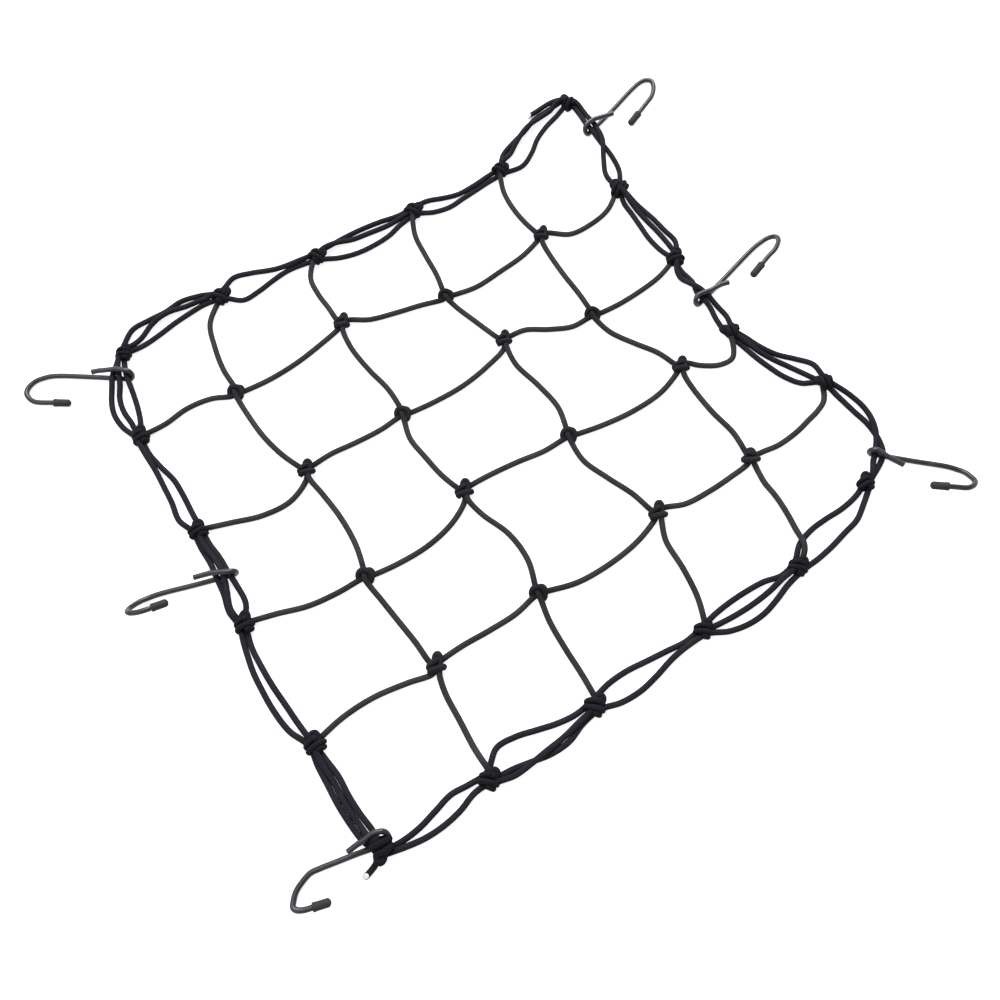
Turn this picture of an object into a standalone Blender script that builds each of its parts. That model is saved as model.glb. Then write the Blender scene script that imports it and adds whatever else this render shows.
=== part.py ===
"""An elastic cargo net of knotted round cord, laid flat, with six bent wire hooks on its edge.

Five meshes by five: four cords run across and four run down, and a border of doubled and tripled cord
goes round them. Each crossing is a knot. Every hook is one wire: a hairpin that holds the border's
strands, a straight shank, and a wide bend with a soft cap on its tip.

X runs across the net and Y up it, +Z is up, and the origin is on the surface under the middle of the
footprint. Knots are numbered (row, column) from the far left corner. The tables are in millimetres.
"""

import math
from collections import namedtuple

import bmesh
import bpy
from mathutils import Matrix, Vector

MM = 0.001
PITCH = 80 * MM            # from knot to knot of an even mesh
MESHES = 5                 # each way
CORD = 3.8 * MM            # diameter of the elastic cord
WIRE = 3.1 * MM            # diameter of the hooks' wire
GAP = 0.3 * MM             # between pieces that touch
END_GAP = 0.65 * MM        # between a cord's square end and the knot that it runs into
FLOOR_GAP = 0.2 * MM       # under cord and wire, so that the knots carry the net

MESH_KNOT_WIDTH = 11.4 * MM
MESH_KNOT_HEIGHT = 8.2 * MM
EDGE_KNOT_WIDTH = 13.8 * MM
EDGE_KNOT_HEIGHT = 9.4 * MM
KNOT_MIDDLE = 0.42         # of a knot's height, where it is widest

CAP_DIAMETER = 5.4 * MM
CAP_LENGTH = 11.5 * MM
CAP_DOME = 3 * MM          # rounded end
CAP_LIP = 0.5 * MM         # chamfer at its mouth
HOOK_WIDTH = 21.5 * MM     # from the shank's axis to the cap's
TAIL_LENGTH = 27 * MM      # the hairpin's free leg

CORD_STEP = 20 * MM        # between a tube's points
CORD_STEP_AT_HOOK = 12 * MM
KNOT_SLOPE = 14 * MM       # how far from a knot its cords come down to the surface
HOOK_SLOPE = 8 * MM        # and from the level stretch over a hook's shank
CORD_RESOLUTION = 1        # six sides
WIRE_RESOLUTION = 2        # eight sides
CAP_SIDES = 12
DOME_STEPS = 3
TURN_STEPS = 6             # in a hairpin's turn
BEND_STEPS = 8             # in a hook's wide bend
TRIM_STEPS = 400           # tried along a leg to find where it clears a knot

MIDDLE_X = 4.7 * MM        # of the footprint, from the middle of the even mesh
MIDDLE_Y = -2.3 * MM

# How far each knot lies from its place in an even mesh: (x, y), mm. One line a row, far edge first.
KNOT_SHIFT = (
    ((11, -5), (13, -1), (10, -10), (12, -15), (8, -20), (8, 7)),
    ((-7, 7), (-15, 1), (-3, 9), (-8, -14), (1, -8), (-7, -5)),
    ((-4, 1), (-1, 0), (-4, 0), (8, 11), (-7, -7), (-8, -1)),
    ((-7, 6), (-5, -9), (2, 7), (4, 2), (21, 3), (-14, 6)),
    ((-5, -6), (4, -5), (4, -1), (22, 2), (18, 0), (15, 17)),
    ((-1, -3), (-5, -3), (-6, -1), (-1, 1), (-4, 1), (-10, 23)),
)

# The column of the knot where each across cord is made in two pieces, so that collision follows them.
SPLIT_COLUMN = {1: 3, 2: 3, 3: 3, 4: 2}

# How far each leg bows to the left of its way, mm: (a third along, two thirds along).
ACROSS_BOWS = {
    1: ((3, 6), (-8, -7), (-3, -3), (-9, -5), (-14, -13)),
    2: ((-10, -17), (1, -2), (-9, -11), (2, -4), (-5, -6)),
    3: ((-2, -5), (-10, -15), (2, -1), (-8, -10), (-10, -15)),
    4: ((6, 2), (1, -3), (-12, -11), (-5, -7), (-9, -12)),
}
DOWN_BOWS = {
    1: ((-14, -7), (-6, -6), (2, 4), (-3, -1), (-3, -1)),
    2: ((-13, -7), (-6, 0), (-8, -7), (3, 9), (-1, 0)),
    3: ((-4, -1), (-1, -2), (-1, 6), (-7, 0), (-1, 4)),
    4: ((-8, -6), (-3, 0), (-5, -1), (-2, 2), (0, 1)),
}

# The border, clockwise from the far left corner. Each run's outermost and innermost strand stand off
# the straight line between its knots by these amounts, mm, outwards: (start, third, two thirds, end).
Run = namedtuple("Run", "name outer inner")
BORDER = (
    Run("far_1", (5, 15, 15, 5), (-1, -2, 2, -1)),
    Run("far_2", (5, 12, 4, 3), (-4, -9, 0, -3)),
    Run("far_3", (2, 7, 6, 0), (-4, -13, -9, -1)),
    Run("far_4", (4, 1, -4, 2), (-3, -10, -5, 0)),
    Run("far_5", (5, 10, 10, 3), (-4, -8, 0, -3)),
    Run("right_1", (1, 11, 12, 4), (-3, 7, 5, -3)),
    Run("right_2", (3, 5, 10, 5), (-1, -4, -7, -4)),
    Run("right_3", (4, 3, 5, 4), (-2, -3, 0, -4)),
    Run("right_4", (2, 2, 8, 4), (0, -4, -10, -2)),
    Run("right_5", (2, 21, 22, 3), (-1, 13, 17, 0)),
    Run("near_1", (3, 10, 10, 4), (2, -1, -5, 1)),
    Run("near_2", (1, 9, 14, 4), (1, -3, -5, 0)),
    Run("near_3", (0, 4, 10, 4), (-1, -1, -6, -2)),
    Run("near_4", (0, 9, 7, 4), (-4, -4, -11, -1)),
    Run("near_5", (0, 5, 9, 2), (-1, -5, 0, -1)),
    Run("left_1", (4, 10, 8, 3), (-1, 0, -2, 0)),
    Run("left_2", (4, 10, 11, 2), (0, 3, 4, 2)),
    Run("left_3", (1, 6, 3, 4), (-4, -5, -5, -2)),
    Run("left_4", (4, 6, 3, 4), (1, -5, -2, 2)),
    Run("left_5", (4, 16, 13, 4), (1, -2, 1, 0)),
)

# The near left corner's knot sits on the wire of the hook under it.
KNOT_LIFT = {(MESHES, 0): WIRE + GAP + FLOOR_GAP}

# The two free cord ends: points from the middle of the knot that starts the run, mm.
FREE_ENDS = {
    "right_1": ((0, 0), (-2, 7), (-13, 9), (-28, 8)),
    "left_1": ((0, 0), (-5, -5), (-9, -7), (-16, -8)),
}

# Each hook: the point on its shank's line at the hairpin's inner end, mm, and its heading in degrees.
# side is 1 where the wide bend turns left of the heading and -1 where it turns right. reach is the
# length out to the bend, back the bare wire between the bend and the cap, mm, and tilt how far the bend
# stands up from the surface. The sweeps are how far the hairpin's leg stands towards the bend's side
# at its root and at its cut end.
Hook = namedtuple("Hook", "name run x y heading side reach back tilt root_sweep tail_sweep")
HOOKS = (
    Hook("hook_1", "right_1", 205, 172, 19, -1, 74, 20, 8, -5, 6),
    Hook("hook_2", "right_3", 182, -3, 15, -1, 81, 12, 32, -4, 6),
    Hook("hook_3", "right_5", 206, -162, -44, -1, 72, 8, 32, -2, 6),
    Hook("hook_4", "left_5", -192, 174, 145, 1, 76, 12, 3, -4, 0),
    Hook("hook_5", "left_3", -196, -1, 162, 1, 75, 7, 46, -2, -2),
    Hook("hook_6", "left_1", -194, -202, 163, 1, 64, 4, 8, -10, -4),
)

CORD_COLOUR = (0.042, 0.042, 0.045)
WIRE_COLOUR = (0.050, 0.050, 0.058)
CAP_COLOUR = (0.045, 0.045, 0.048)


def make_material(name, colour, roughness, metallic):
    """A Principled material with one colour."""
    material = bpy.data.materials.new(name)
    material.use_nodes = True
    shader = material.node_tree.nodes["Principled BSDF"]
    shader.inputs["Base Color"].default_value = (*colour, 1)
    shader.inputs["Roughness"].default_value = roughness
    shader.inputs["Metallic"].default_value = metallic
    return material


def new_object(name, data, collection, material):
    """An object of this data in this collection."""
    piece = bpy.data.objects.new(name, data)
    data.materials.clear()
    data.materials.append(material)
    collection.objects.link(piece)
    return piece


def on_plan(x, y, z=0.0):
    """A point given from the middle of the even mesh, moved to the footprint's own middle."""
    return Vector((x - MIDDLE_X, y - MIDDLE_Y, z))


def knot_place(row, column):
    """The point on the surface under a knot."""
    shift_x, shift_y = KNOT_SHIFT[row][column]
    half = MESHES / 2
    return on_plan((column - half) * PITCH + shift_x * MM, (half - row) * PITCH + shift_y * MM)


def is_edge(row, column):
    """Whether a knot is on the border."""
    return row in (0, MESHES) or column in (0, MESHES)


def knot_radius(knot):
    """Half the width of a knot."""
    return (EDGE_KNOT_WIDTH if is_edge(*knot) else MESH_KNOT_WIDTH) / 2


def knot_height(knot):
    """How high a knot stands."""
    return EDGE_KNOT_HEIGHT if is_edge(*knot) else MESH_KNOT_HEIGHT


def bow_at(bows, along):
    """The cubic through four evenly spaced values, at a share of the way along."""
    third = along * 3
    total = 0.0
    for index, value in enumerate(bows):
        others = [other for other in range(4) if other != index]
        total += value * math.prod((third - other) / (index - other) for other in others)
    return total * MM


def hook_frame(hook):
    """The hook's corner point, its outward direction and the direction to its bend's side."""
    heading = math.radians(hook.heading)
    out = Vector((math.cos(heading), math.sin(heading), 0))
    side = Vector((-out.y, out.x, 0)) * hook.side
    return on_plan(hook.x * MM, hook.y * MM), out, side


def height_over(point, start, end):
    """How high cord lies at a point: on the surface, up at its knots and over any hook's shank."""
    rest = CORD / 2 + FLOOR_GAP
    height = rest
    for knot in (start, end):
        middle = max(KNOT_MIDDLE * knot_height(knot), KNOT_LIFT.get(knot, 0) + rest)
        near = math.exp(-((point - knot_place(*knot)).length / KNOT_SLOPE) ** 2)
        height += (middle - rest) * near
    for hook in HOOKS:
        corner, out, side = hook_frame(hook)
        offset = point - corner
        if 0 < offset.dot(out) < TAIL_LENGTH:
            beside = max(0, abs(offset.dot(side)) - CORD_STEP_AT_HOOK)
            near = math.exp(-(beside / HOOK_SLOPE) ** 2)
            height = max(height, rest + (WIRE + GAP) * near)
    return height


def first_clear(place, knot, shares):
    """The first of these shares of the way at which the cord's rim is clear of the knot."""
    centre = knot_place(*knot).xy
    for share in shares:
        point = place(share).xy
        rim = (place(share + 0.01).xy - point).orthogonal().normalized() * CORD / 2
        nearest = min((point + rim - centre).length, (point - rim - centre).length)
        if nearest > knot_radius(knot) + END_GAP:
            return share
    return 0.5


def route(start, end, bows, step, clear_start=False, clear_end=False):
    """Points of one strand between two knots, left of the straight way by the bows."""
    first = knot_place(*start)
    way = knot_place(*end) - first
    left = Vector((-way.y, way.x, 0)).normalized()

    def place(along):
        return first + way * along + left * bow_at(bows, along)

    shares = [index / TRIM_STEPS for index in range(TRIM_STEPS // 2)]
    begin = first_clear(place, start, shares) if clear_start else 0
    finish = first_clear(place, end, [1 - share for share in shares]) if clear_end else 1
    count = max(3, round(way.length / step))
    points = []
    for index in range(count + 1):
        point = place(begin + (finish - begin) * index / count)
        point.z = height_over(point, start, end)
        points.append(point)
    return points


def make_tube(name, points, diameter, resolution, collection, material):
    """A tube through the points with closed ends, as a mesh."""
    curve = bpy.data.curves.new(name, "CURVE")
    curve.dimensions = "3D"
    curve.bevel_depth = diameter / 2
    curve.bevel_resolution = resolution
    curve.use_fill_caps = True
    spline = curve.splines.new("POLY")
    spline.points.add(len(points) - 1)
    for target, point in zip(spline.points, points):
        target.co = (*point, 1)
    source = bpy.data.objects.new(name + "_curve", curve)
    collection.objects.link(source)
    bpy.context.view_layer.update()
    graph = bpy.context.evaluated_depsgraph_get()
    mesh = bpy.data.meshes.new_from_object(source.evaluated_get(graph))
    bpy.data.objects.remove(source)
    shape = bmesh.new()
    shape.from_mesh(mesh)
    bmesh.ops.remove_doubles(shape, verts=shape.verts, dist=0.01 * MM)
    shape.to_mesh(mesh)
    shape.free()
    mesh.name = name
    return new_object(name, mesh, collection, material)


def make_knot(name, knot, collection, material):
    """A knot as a round lump with a flat underside."""
    height = knot_height(knot)
    lift = KNOT_LIFT.get(knot, 0)
    half_height = (1 - KNOT_MIDDLE) * height
    radius = knot_radius(knot)
    shape = bmesh.new()
    bmesh.ops.create_icosphere(shape, subdivisions=2, radius=1)
    bmesh.ops.scale(shape, vec=(radius, radius, half_height), verts=shape.verts)
    bmesh.ops.translate(shape, vec=(0, 0, KNOT_MIDDLE * height), verts=shape.verts)
    everything = shape.verts[:] + shape.edges[:] + shape.faces[:]
    cut = bmesh.ops.bisect_plane(shape, geom=everything, plane_co=(0, 0, 0), plane_no=(0, 0, -1),
                                 clear_outer=True)
    rim = [item for item in cut["geom_cut"] if isinstance(item, bmesh.types.BMEdge)]
    bmesh.ops.edgeloop_fill(shape, edges=rim)
    place = knot_place(*knot) + Vector((0, 0, lift))
    bmesh.ops.translate(shape, vec=place, verts=shape.verts)
    bmesh.ops.recalc_face_normals(shape, faces=shape.faces)
    mesh = bpy.data.meshes.new(name)
    shape.to_mesh(mesh)
    shape.free()
    return new_object(name, mesh, collection, material)


def unite(piece, others):
    """Joins the others to the piece with unions, and leaves them as hidden helpers."""
    for other in others:
        union = piece.modifiers.new("join_" + other.name, "BOOLEAN")
        union.operation = "UNION"
        union.object = other
        other.hide_render = True
        other.display_type = "WIRE"
    return piece


def make_across_cord(row, side, begin, end, nodes, helpers, material):
    """A piece, from column begin to end, of a cord that runs from edge to edge, with its knots."""
    points = []
    for column in range(begin, end):
        leg = route((row, column), (row, column + 1), (0, *ACROSS_BOWS[row][column], 0), CORD_STEP,
                    clear_start=column == 0, clear_end=column == end - 1)
        points += leg if not points else leg[1:]
    cord = make_tube(f"across_{side}_{row}", points, CORD, CORD_RESOLUTION, nodes, material)
    knots = [make_knot(f"knot_{row}_{column}", (row, column), helpers, material)
             for column in range(max(begin, 1), end)]
    return unite(cord, knots)


def make_down_legs(column, nodes, material):
    """The legs of one cord from the far edge to the near edge, each between its two knots."""
    for row, bows in enumerate(DOWN_BOWS[column]):
        points = route((row, column), (row + 1, column), (0, *bows, 0), CORD_STEP,
                       clear_start=True, clear_end=True)
        make_tube(f"down_leg_{column}_{row + 1}", points, CORD, CORD_RESOLUTION, nodes, material)


def border_knots():
    """The border's knots, clockwise from the far left corner."""
    last = MESHES
    far = [(0, column) for column in range(last)]
    right = [(row, last) for row in range(last)]
    near = [(last, last - column) for column in range(last)]
    left = [(last - row, 0) for row in range(last)]
    return far + right + near + left


def make_border_run(run, start, end, nodes, helpers, material):
    """One run of the border with the knot that it starts from."""
    step = CORD_STEP_AT_HOOK if any(hook.run == run.name for hook in HOOKS) else CORD_STEP
    outer = make_tube("border_" + run.name, route(start, end, run.outer, step, clear_end=True),
                      CORD, CORD_RESOLUTION, nodes, material)
    inner = make_tube("inner_" + run.name, route(start, end, run.inner, step, clear_end=True),
                      CORD, CORD_RESOLUTION, helpers, material)
    parts = [inner, make_knot("edge_knot_" + run.name, start, helpers, material)]
    if run.name in FREE_ENDS:
        points = [knot_place(*start) + Vector((x * MM, y * MM, 0)) for x, y in FREE_ENDS[run.name]]
        for point in points:
            point.z = height_over(point, start, start)
        parts.append(make_tube("free_end_" + run.name, points, CORD, CORD_RESOLUTION, helpers, material))
    return unite(outer, parts)


def hook_points(hook):
    """The wire's centre line, from the hairpin's cut end to the end under the cap."""
    corner, out, side = hook_frame(hook)
    low = WIRE / 2 + FLOOR_GAP
    high = low + WIRE + CORD + 2 * GAP + FLOOR_GAP
    turn = (high - low) / 2
    bend = HOOK_WIDTH / 2
    tilt = math.radians(hook.tilt)

    def at(along, across, height):
        return corner + out * along + side * across + Vector((0, 0, height))

    points = [at(TAIL_LENGTH, hook.tail_sweep * MM, high)]
    for step in range(TURN_STEPS + 1):
        angle = math.pi * (0.5 - step / TURN_STEPS)
        across = hook.root_sweep * MM * (1 + math.sin(angle)) / 2
        height = (low + high) / 2 + turn * math.sin(angle)
        points.append(at(turn * (1 - math.cos(angle)), across, height))
    reach = hook.reach * MM - bend
    flat = []
    for step in range(BEND_STEPS + 1):
        angle = math.pi * (step / BEND_STEPS - 0.5)
        flat.append((reach + bend * math.cos(angle), bend * (1 + math.sin(angle))))
    flat.append((reach - hook.back * MM, HOOK_WIDTH))
    for along, across in flat:
        points.append(at(along, across * math.cos(tilt), low + across * math.sin(tilt)))
    return points


def make_cap(hook, points, nodes, material):
    """The soft cap on the hook's tip, turned round its own axis and butted to the wire's end."""
    radius = CAP_DIAMETER / 2
    angles = [math.pi / 2 * step / DOME_STEPS for step in range(DOME_STEPS + 1)]
    dome = [(radius * math.sin(angle), CAP_LENGTH - CAP_DOME * (1 - math.cos(angle))) for angle in angles]
    profile = [*dome, (radius, CAP_LIP), (radius - CAP_LIP, 0), (0, 0)]
    shape = bmesh.new()
    rim = [shape.verts.new((across, 0, along)) for across, along in profile]
    for first, second in zip(rim, rim[1:]):
        shape.edges.new((first, second))
    mesh = bpy.data.meshes.new(hook.name + "_cap")
    shape.to_mesh(mesh)
    shape.free()
    cap = new_object(hook.name + "_cap", mesh, nodes, material)
    turning = cap.modifiers.new("turn", "SCREW")
    turning.steps = CAP_SIDES
    turning.render_steps = CAP_SIDES
    turning.use_merge_vertices = True
    turning.merge_threshold = 0.01 * MM
    axis = (points[-1] - points[-2]).normalized()
    place = points[-1] + axis * GAP
    cap.matrix_world = Matrix.Translation(place) @ axis.to_track_quat("Z", "Y").to_matrix().to_4x4()
    return cap


def main():
    for old in list(bpy.data.objects):
        bpy.data.objects.remove(old)
    nodes = bpy.data.collections.new("cargo_net")
    helpers = bpy.data.collections.new("helpers")
    bpy.context.scene.collection.children.link(nodes)
    bpy.context.scene.collection.children.link(helpers)
    cord = make_material("cord", CORD_COLOUR, 0.85, 0)
    wire = make_material("wire", WIRE_COLOUR, 0.4, 0.6)
    cap = make_material("cap", CAP_COLOUR, 0.6, 0)

    for row in range(1, MESHES):
        split = SPLIT_COLUMN[row]
        make_across_cord(row, "left", 0, split, nodes, helpers, cord)
        make_across_cord(row, "right", split, MESHES, nodes, helpers, cord)
    for column in range(1, MESHES):
        make_down_legs(column, nodes, cord)
    corners = border_knots()
    for run, start, end in zip(BORDER, corners, corners[1:] + corners[:1]):
        make_border_run(run, start, end, nodes, helpers, cord)
    for hook in HOOKS:
        points = hook_points(hook)
        make_tube(hook.name, points, WIRE, WIRE_RESOLUTION, nodes, wire)
        make_cap(hook, points, nodes, cap)


main()
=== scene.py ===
"""The looks of the elastic cargo net: braided cord, knots, bent wire hooks and their soft caps.

Everything is in metres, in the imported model's frame: +X across the net, +Y towards its far edge and
+Z up, with the surface that the net lies on at Z = 0. Tables are in millimetres, and say so.
"""

import math
from collections import namedtuple

import bmesh
import bpy
from mathutils import Matrix, Vector
from mathutils.kdtree import KDTree


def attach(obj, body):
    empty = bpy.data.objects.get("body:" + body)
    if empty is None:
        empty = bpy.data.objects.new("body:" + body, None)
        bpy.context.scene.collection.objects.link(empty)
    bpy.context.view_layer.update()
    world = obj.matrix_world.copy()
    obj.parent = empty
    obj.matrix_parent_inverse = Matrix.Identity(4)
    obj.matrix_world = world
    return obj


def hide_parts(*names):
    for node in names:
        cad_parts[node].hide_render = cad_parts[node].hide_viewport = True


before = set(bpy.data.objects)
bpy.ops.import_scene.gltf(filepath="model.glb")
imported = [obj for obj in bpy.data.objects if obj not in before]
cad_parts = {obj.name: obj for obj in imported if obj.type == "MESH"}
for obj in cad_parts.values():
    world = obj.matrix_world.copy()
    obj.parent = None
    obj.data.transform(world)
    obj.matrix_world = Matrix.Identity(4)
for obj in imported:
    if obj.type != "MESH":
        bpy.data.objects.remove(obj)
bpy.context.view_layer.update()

MM = 0.001
PITCH = 80 * MM            # from knot to knot of an even mesh
MESHES = 5                 # each way
CORD = 3.8 * MM
SLEEVE = 4.0 * MM          # across the cord's braided sleeve, with its fuzz
WIRE = 3.1 * MM
COATED_WIRE = 3.7 * MM     # across the wire's coating
GAP = 0.3 * MM
FLOOR_GAP = 0.2 * MM
REST = CORD / 2 + FLOOR_GAP  # height of cord that lies on the surface
MIDDLE_X = 4.7 * MM        # of the footprint, from the middle of the even mesh
MIDDLE_Y = -2.3 * MM

# ---------------------------------------------------------------- the net's tables, in millimetres

# How far each knot lies from its place in an even mesh: (x, y). One line a row, far edge first.
KNOT_SHIFT = (
    ((11, -5), (13, -1), (10, -10), (12, -15), (8, -20), (8, 7)),
    ((-7, 7), (-15, 1), (-3, 9), (-8, -14), (1, -8), (-7, -5)),
    ((-4, 1), (-1, 0), (-4, 0), (8, 11), (-7, -7), (-8, -1)),
    ((-7, 6), (-5, -9), (2, 7), (4, 2), (21, 3), (-14, 6)),
    ((-5, -6), (4, -5), (4, -1), (22, 2), (18, 0), (15, 17)),
    ((-1, -3), (-5, -3), (-6, -1), (-1, 1), (-4, 1), (-10, 23)),
)

# How far each leg of a cord bows to the left of its way, at even steps between its two knots.
ACROSS_BOWS = {
    1: ((1, 5, 4), (-6, -7, -5), (-3, -3, -2), (-7, -7, -6), (-12, -14, -11)),
    2: ((-7, -14, -15), (1, -1, -2), (-7, -10, -9), (3, -2, -5), (-5, -6, -5)),
    3: ((-2, -5, -4), (-9, -13, -12), (1, 0, -2), (-7, -10, -9), (-8, -16, -17)),
    4: ((4, 4, 0), (0, -2, -3), (-9, -11, -9), (-5, -6, -5), (-4, -8, -10, -11, -11, -11, -9)),
}
DOWN_BOWS = {
    1: ((-12, -11, -7), (-5, -7, -6), (1, 4, 4), (-2, -2, -2), (-3, -2, -1)),
    2: ((-11, -10, -6), (-5, -3, 1), (-7, -7, -6), (0, 7, 7), (-2, -1, 1)),
    3: ((-6, -4, -1), (-2, -2, -2), (-3, 2, 5), (-7, -5, -2), (-2, 2, 4)),
    4: ((-7, -8, -6), (-3, -2, 0), (-5, -3, 0), (-3, -2, 1), (1, 2, 5, 7, 8, 8, 8)),
}

# The border's strands, clockwise from the far left corner. Each stands off the straight line
# between its two knots by these amounts, outwards, at each sixth of the way. The outer and the
# inner strand run on through the knots of their side; a third strand fills some runs.
Run = namedtuple("Run", "side outer inner third", defaults=(None,))
BORDER = (
    Run("far", (15, 15, 14, 15, 11), (-2, -1, 1, 2, 2), (4, 10, 11, 9, 5)),
    Run("far", (12, 10, 6, 2, 2), (-10, -8, -4, -1, -1)),
    Run("far", (5, 6, 6, 5, 3), (-9, -12, -12, -10, -5), (3, 1, 0, -1, -1)),
    Run("far", (4, 0, -3, -3, 0), (-8, -10, -8, -6, -4)),
    Run("far", (9, 10, 10, 11, 8), (-10, -8, -3, -1, -1), (4, 7, 9, 8, 5)),
    Run("right", (9, 10, 9, 3, -2), (5, 5, 8, 10, 9)),
    Run("right", (3, 5, 7, 8, 9), (-3, -4, -5, -6, -5), (0, 1, 2, 3, 3)),
    Run("right", (-6, -4, 1, 4, 6), (-2, 0, -3, -1, -2)),
    Run("right", (3, 2, 3, 7, 10), (-4, -7, -9, -10, -8), (-1, -2, -2, -1, 0)),
    Run("right", (15, 21, 21, 18, 11), (7, 13, 19, 21, 17)),
    Run("near", (8, 11, 10, 9, 7), (1, -1, -5, -8, -8)),
    Run("near", (6, 10, 13, 13, 10), (-1, -4, -5, -5, -4), (1, 3, 4, 4, 3)),
    Run("near", (3, 4, 7, 9, 8), (0, -2, -4, -6, -6)),
    Run("near", (5, 9, 9, 6, 3), (-2, -4, -8, -12, -13), (3, 5, 6, 7, 7)),
    Run("near", (2, 6, 8, 8, 6), (-4, -5, -2, 1, 2)),
    Run("left", (7, 8, 8, 7, 6), (-1, 0, 0, -1, 0), (3, 4, 4, 3, 3)),
    Run("left", (10, 12, 12, 11, 8), (3, 4, 5, 5, 4)),
    Run("left", (6, 4, 3, 3, 4), (-6, -6, -5, -4, -2), (4, 1, -2, -1, 1)),
    Run("left", (8, 6, 5, 4, 4), (-2, -3, -3, 0, 2)),
    Run("left", (12, 16, 16, 13, 9), (-1, -1, 0, 1, 2), (5, 9, 10, 7, 6)),
)

# The two cut ends, where the outer strands of these sides leave the corner knot that starts them:
# (x, y, height) from that knot's middle.
CUT_ENDS = {
    "right": ((-4, 3, 2), (-13, 6, 2), (-22, 7, 2), (-30, 7, 2)),
    "left": ((-5, -3, 4), (-8, -5, 3), (-11, -6, 2), (-14, -7, 3)),
}

# Each hook: where its corner is and its heading in degrees. side is 1 where the wide bend turns
# left of the heading and -1 where it turns right, tilt is how far that bend stands up from the
# surface, in degrees, and cap is the length of the soft cap. tail is the hairpin's upper leg, from
# its cut end to the hairpin's turn, and shank the wire from that turn out, round the wide bend and
# back to the cap: points (along, across) from the corner, where across grows towards the bend's
# side.
Hook = namedtuple("Hook", "name x y heading side tilt cap tail shank")
HOOKS = (
    Hook(
        "hook_1", 205, 171, 19, -1, 8, 13,
        tail=((23, 6), (18, 3), (12, -1), (8, -3), (2, -4)),
        shank=((2, -1), (30, 0), (60, 0), (68, 1), (72, 3), (74, 7), (72, 11), (67, 15), (60, 18),
               (52, 19), (39, 20)),
    ),
    Hook(
        "hook_2", 182, -4, 15, -1, 38, 13,
        tail=((25, 6), (20, 3), (11, 0), (7, -2), (2, -4)),
        shank=((2, -1), (30, -1), (66, -1), (73, 0), (78, 2), (81, 6), (81, 10), (78, 14),
               (73, 17), (67, 19), (60, 19), (50, 20)),
    ),
    Hook(
        "hook_3", 206, -163, -44, -1, 32, 12,
        tail=((21, 7), (16, 5), (11, 3), (7, 1), (3, -1)),
        shank=((3, -1), (30, -1), (52, -1), (58, 0), (63, 2), (66, 6), (68, 11), (67, 15),
               (65, 18), (61, 21), (55, 22), (49, 23)),
    ),
    Hook(
        "hook_4", -192, 173, 145, 1, 3, 12,
        tail=((28, 0), (24, -1), (17, -2), (10, -3), (4, -2)),
        shank=((4, 1), (30, 0), (60, 0), (67, 2), (71, 4), (74, 7), (76, 11), (76, 15), (74, 18),
               (70, 21), (66, 22), (54, 22)),
    ),
    Hook(
        "hook_5", -196, -2, 162, 1, 48, 11,
        tail=((27, -3), (14, -3), (4, -1)),
        shank=((4, -1), (30, -1), (52, -1), (59, 0), (64, 2), (68, 6), (71, 11), (71, 15),
               (69, 18), (64, 20), (59, 20), (55, 19)),
    ),
    Hook(
        "hook_6", -194, -203, 163, 1, 8, 11,
        tail=((26, -2), (21, -4), (15, -6), (10, -8), (5, -8)),
        shank=((5, -1), (23, 0), (34, 1), (45, 2), (51, 3), (57, 7), (61, 11), (63, 15), (64, 19),
               (62, 21), (58, 22), (53, 22)),
    ),
)

# ---------------------------------------------------------------- the knots' tables, in millimetres

# Strands of each kind of knot, as points (x, y, z) round the middle of its underside. y points away
# from the side where its bars are. The net's own cords run on inside.
COLLAR_KNOT = (
    ((-2.8, -3.2, 2.0), (-4.2, -1.8, 2.6), (-4.4, 0.0, 4.0), (-3.4, 1.6, 5.6), (-1.6, 2.4, 6.6),
     (0.6, 2.3, 6.8), (2.6, 1.4, 6.0), (4.0, -0.4, 4.9), (4.2, -2.4, 3.8), (3.6, -4.0, 2.8),
     (2.4, -4.8, 2.0)),
    ((-0.4, 1.4, 4.6), (1.0, 0.7, 4.6), (1.9, -0.8, 3.9), (1.9, -2.8, 2.8), (1.2, -4.2, 2.0)),
    ((4.6, -1.0, 2.2), (4.6, 0.8, 2.8), (3.8, 2.6, 3.3), (2.4, 3.6, 3.4), (0.6, 3.4, 2.6)),
)
HITCH_KNOT = (
    ((-0.8, -2.6, 4.2), (-1.2, 0.6, 4.2), (-1.2, 3.2, 4.9), (-0.5, 4.9, 5.3), (0.5, 5.5, 5.4),
     (1.6, 4.8, 5.1), (2.2, 3.0, 4.8), (2.4, 0.6, 4.5), (2.0, -2.6, 4.2)),
    ((1.2, 2.6, 3.8), (0.2, 1.6, 5.9), (-1.8, 0.2, 6.7), (-3.9, -1.4, 5.5), (-4.9, -2.6, 3.6),
     (-3.6, -3.4, 2.0), (0.4, -2.6, 1.8), (3.6, -1.9, 2.1), (4.8, -2.2, 3.8), (3.9, -2.9, 5.8),
     (1.0, -3.8, 6.8), (-2.2, -4.5, 6.2), (-4.0, -4.9, 4.4), (-3.2, -5.0, 2.8)),
)
SQUAT_KNOT = (
    ((-2.4, -0.6, 3.4), (-2.6, 1.6, 4.4), (-1.4, 3.4, 5.4), (0.6, 3.8, 5.4), (2.2, 2.4, 4.6),
     (2.4, 0.4, 3.6)),
    ((-1.2, 0.2, 5.8), (-0.8, 1.6, 6.2), (0.2, 2.0, 6.2), (1.0, 1.2, 6.0), (0.9, -0.2, 5.4)),
    ((4.6, -0.6, 2.2), (5.2, -2.0, 3.6), (3.8, -3.0, 5.4), (1.0, -3.6, 6.0), (-2.0, -3.8, 5.8),
     (-4.4, -3.4, 4.2), (-5.0, -2.0, 2.6), (-3.6, -0.8, 2.0)),
)
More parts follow.
